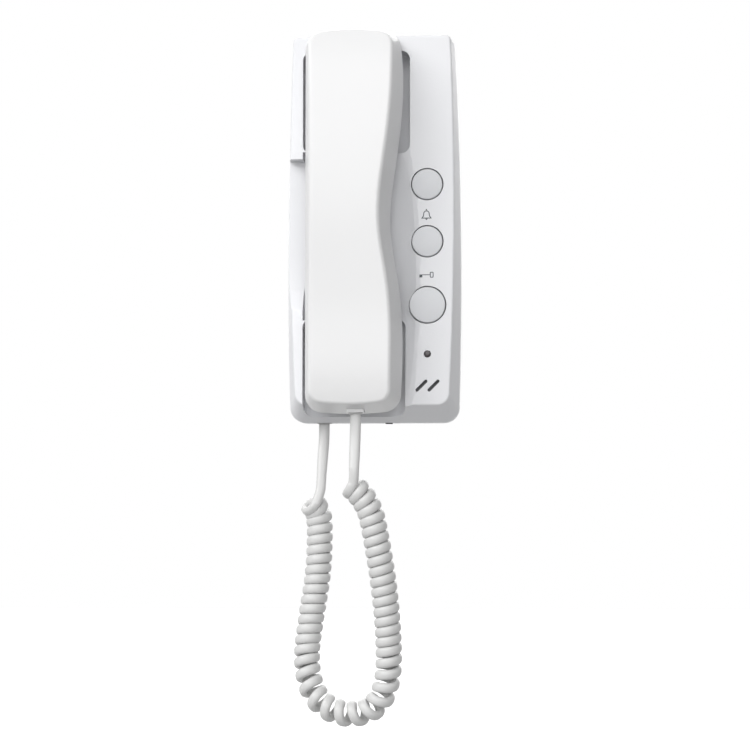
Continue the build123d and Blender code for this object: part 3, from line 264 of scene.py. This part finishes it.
def curlPoints(sizes):
    # points of the curls and the way out from their axis at each, from the front of one turn to that of another
    axis = routePoints(sizes["axis"], sizes["axisResolution"])
    turns = [0.0]
    for a, b in zip(axis, axis[1:]):
        height = (a.z + b.z) / 2 / mm
        share = min(max((sizes["bendTop"] - height) / (sizes["bendTop"] - sizes["bendLow"]), 0), 1)
        pitch = (sizes["legPitch"] + (sizes["bendPitch"] - sizes["legPitch"]) * share) * mm
        turns.append(turns[-1] + (b - a).length / pitch)
    facing = Vector(sizes["facing"]).normalized()
    number, below, spots, outs = 0, 0, [], []
    while number / sizes["pointsPerTurn"] < turns[-1]:
        turn = number / sizes["pointsPerTurn"]
        while turns[below + 1] < turn:
            below += 1
        share = (turn - turns[below]) / (turns[below + 1] - turns[below])
        way = (axis[min(below + 2, len(axis) - 1)] - axis[max(below - 1, 0)]).normalized()
        across = (facing - way * facing.dot(way)).normalized()
        angle = 2 * math.pi * turn
        outs.append(across * math.cos(angle) + way.cross(across) * math.sin(angle))
        spots.append(axis[below].lerp(axis[below + 1], share) + outs[-1] * sizes["curlRadius"] * mm)
        number += 1
    whole = sizes["pointsPerTurn"]
    first = min(range(whole), key=lambda n: outs[n].y)
    last = min(range(len(outs) - whole, len(outs)), key=lambda n: outs[n].y)
    return spots[first:last + 1], outs[first:last + 1]


def softJoin(start, startWay, end, endWay, sizes):
    # smooth piece of wire between two points that leaves and arrives along two directions
    reach, steps, spots = sizes["joinReach"] * mm, sizes["joinSteps"], []
    for number in range(1, steps):
        t = number / steps
        spots.append(start * (2 * t**3 - 3 * t**2 + 1) + startWay * reach * (t**3 - 2 * t**2 + t)
                     + end * (3 * t**2 - 2 * t**3) + endWay * reach * (t**3 - t**2))
    return spots


def flatWire(name, spots, outs, sizes, material):
    # the flat wire: at each spot a rounded section, thin along its way out and wide across it
    mesh = bmesh.new()
    rings, power = [], sizes["roundness"]
    for number, spot in enumerate(spots):
        way = (spots[min(number + 1, len(spots) - 1)] - spots[max(number - 1, 0)]).normalized()
        out = (outs[number] - way * outs[number].dot(way)).normalized()
        side = way.cross(out)
        ring = []
        lead = min(max((spot.z / mm - sizes["leadEnd"]) / sizes["leadFade"], 0), 1)
        wide = sizes["wide"] + (sizes["leadWide"] - sizes["wide"]) * lead
        for step in range(sizes["ringPoints"]):
            angle = 2 * math.pi * step / sizes["ringPoints"]
            c, s = math.cos(angle), math.sin(angle)
            bulge = (abs(c) ** power + abs(s) ** power) ** (-1 / power)
            ring.append(mesh.verts.new(spot + out * c * bulge * sizes["thin"] / 2 * mm
                                       + side * s * bulge * wide / 2 * mm))
        rings.append(ring)
    for before, after in zip(rings, rings[1:]):
        for step in range(len(before)):
            ahead = (step + 1) % len(before)
            mesh.faces.new((before[step], before[ahead], after[ahead], after[step]))
    mesh.faces.new(rings[0])
    mesh.faces.new(rings[-1])
    bmesh.ops.recalc_face_normals(mesh, faces=mesh.faces)
    for face in mesh.faces:
        face.smooth = True
    return makePiece(name, mesh, material)


front = Vector((0, -1, 0))
baseLead = routePoints(cordSizes["baseLead"], cordSizes["leadResolution"])
handsetLead = routePoints(cordSizes["handsetLead"], cordSizes["leadResolution"])[::-1]
curls, curlOuts = curlPoints(cordSizes)
entryWay = (baseLead[-1] - baseLead[-2]).normalized()
exitWay = (handsetLead[1] - handsetLead[0]).normalized()
firstWay = (curls[1] - curls[0]).normalized()
lastWay = (curls[-1] - curls[-2]).normalized()
cordPath = baseLead + softJoin(baseLead[-1], entryWay, curls[0], firstWay, cordSizes)
cordOuts = [front] * len(cordPath)
cordPath += curls
cordOuts += curlOuts
cordPath += softJoin(curls[-1], lastWay, handsetLead[0], exitWay, cordSizes)
cordPath += handsetLead
cordOuts += [front] * (len(cordPath) - len(cordOuts))
cord = flatWire("curlyCord", cordPath, cordOuts, cordSizes, cordWhite)
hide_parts("cord_base_lead", "cord_curls", "cord_handset_lead")
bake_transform(cord)

# printed signs on the panel: a bell and a key, drawn as thin outlines of ink
signs = {"x": 0.0309, "bellZ": 0.0065, "keyZ": -0.0278, "face": -0.03, "ink": 0.00005, "line": 0.0005}


def patch(mesh, outline):
    # a flat face from its corners, x and z in millimetres
    return mesh.faces.new([mesh.verts.new((x * mm, 0, z * mm)) for x, z in outline])


def lineAround(mesh, outline):
    face = patch(mesh, outline)
    face.normal_update()
    bmesh.ops.inset_region(mesh, faces=[face], thickness=signs["line"], use_boundary=True, use_even_offset=True)
    bmesh.ops.delete(mesh, geom=[face], context="FACES_ONLY")


def printSign(name, mesh, z):
    raised = bmesh.ops.extrude_face_region(mesh, geom=list(mesh.faces))
    moved = [part for part in raised["geom"] if isinstance(part, bmesh.types.BMVert)]
    bmesh.ops.translate(mesh, verts=moved, vec=(0, -signs["ink"], 0))
    bmesh.ops.recalc_face_normals(mesh, faces=mesh.faces)
    bmesh.ops.translate(mesh, verts=mesh.verts, vec=(signs["x"], signs["face"], z))
    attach(makePiece(name, mesh, signInk), "base")


def bellSign():
    mesh = bmesh.new()
    turns = [step * math.pi / 12 for step in range(13)]
    dome = [(1.8 * math.cos(turn), 0.5 + 1.9 * math.sin(turn)) for turn in turns]
    brim = [(-1.95, -0.7), (-2.5, -1.4), (-3.0, -2.2), (3.0, -2.2), (2.5, -1.4), (1.95, -0.7)]
    lineAround(mesh, brim + dome)
    patch(mesh, [(-0.8, -2.3), (0, -3.1), (0.8, -2.3)])
    patch(mesh, [(-0.3, 2.5), (0.3, 2.5), (0.3, 3.2), (-0.3, 3.2)])
    printSign("bellSign", mesh, signs["bellZ"])


def keySign():
    mesh = bmesh.new()
    corners, bow = ((3.35, 1.2), (2.45, 1.2), (2.45, -0.9), (3.35, -0.9)), []
    for quarter, (x, z) in enumerate(corners):
        for step in range(5):
            turn = (quarter + step / 4) * math.pi / 2
            bow.append((x + 0.6 * math.cos(turn), z + 0.6 * math.sin(turn)))
    lineAround(mesh, bow)
    patch(mesh, [(-2.4, -0.05), (1.85, -0.05), (1.85, 0.35), (-2.4, 0.35)])
    patch(mesh, [(-4.0, -1.3), (-2.4, -1.3), (-2.4, 0.35), (-4.0, 0.35)])
    printSign("keySign", mesh, signs["keyZ"])


bellSign()
keySign()
print("signs printed")

# light, floor and background
studio = {
    "key": {"turn": (55, 0, -50), "strength": 1.7, "softness": 40},
    "front": {"turn": (72, 0, -2), "strength": 1.45, "softness": 50},
    "back": {"turn": (60, 0, 180), "strength": 1.6, "softness": 60},
    "world": 0.28, "floorZ": -0.42, "floorSize": 6.0, "floorGlow": 0.8, "floorTone": (0.35, 0.35, 0.35),
}


def addSun(name, settings):
    data = bpy.data.lights.new(name, "SUN")
    data.energy = settings["strength"]
    data.angle = math.radians(settings["softness"])
    lamp = bpy.data.objects.new(name, data)
    lamp.rotation_euler = [math.radians(a) for a in settings["turn"]]
    scene.collection.objects.link(lamp)


def seenDirectly(nodes, links):
    # 1 where the camera, a reflection or clear plastic sees the background, 0 where it lights the object
    path = nodes.new("ShaderNodeLightPath")
    either, seen = nodes.new("ShaderNodeMath"), nodes.new("ShaderNodeMath")
    either.operation = seen.operation = "MAXIMUM"
    links.new(path.outputs["Is Camera Ray"], either.inputs[0])
    links.new(path.outputs["Is Transmission Ray"], either.inputs[1])
    links.new(either.outputs[0], seen.inputs[0])
    links.new(path.outputs["Is Glossy Ray"], seen.inputs[1])
    return seen.outputs[0]


def levelOf(nodes, links, low, high):
    level = nodes.new("ShaderNodeMapRange")
    level.inputs["To Min"].default_value = low
    level.inputs["To Max"].default_value = high
    links.new(seenDirectly(nodes, links), level.inputs["Value"])
    return level.outputs["Result"]


def buildWorld(strength):
    world = bpy.data.worlds.new("world")
    scene.world = world
    world.use_nodes = True
    nodes, links = world.node_tree.nodes, world.node_tree.links
    background = nodes["Background"]
    background.inputs["Color"].default_value = (1, 1, 1, 1)
    links.new(levelOf(nodes, links, strength, 1.0), background.inputs["Strength"])


def buildFloor(settings):
    mesh = bmesh.new()
    bmesh.ops.create_grid(mesh, x_segments=1, y_segments=1, size=settings["floorSize"])
    bmesh.ops.translate(mesh, verts=mesh.verts, vec=(0, 0, settings["floorZ"]))
    pale = plastic("floorPale", settings["floorTone"], 0.9)
    nodes, links = pale.node_tree.nodes, pale.node_tree.links
    shader = nodes["Principled BSDF"]
    shader.inputs["Emission Color"].default_value = (1, 1, 1, 1)
    links.new(levelOf(nodes, links, 0.0, settings["floorGlow"]), shader.inputs["Emission Strength"])
    # from below the floor is clear, so that the underside can be looked at
    side, clear, either = (nodes.new(kind) for kind in
                           ("ShaderNodeNewGeometry", "ShaderNodeBsdfTransparent", "ShaderNodeMixShader"))
    links.new(side.outputs["Backfacing"], either.inputs[0])
    links.new(shader.outputs[0], either.inputs[1])
    links.new(clear.outputs[0], either.inputs[2])
    links.new(either.outputs[0], nodes["Material Output"].inputs["Surface"])
    makePiece("floor", mesh, pale)


for sunName in ("key", "front", "back"):
    addSun(sunName, studio[sunName])
buildWorld(studio["world"])
buildFloor(studio)
scene.view_settings.view_transform = "Standard"
print("studio lit")

bpy.context.view_layer.update()
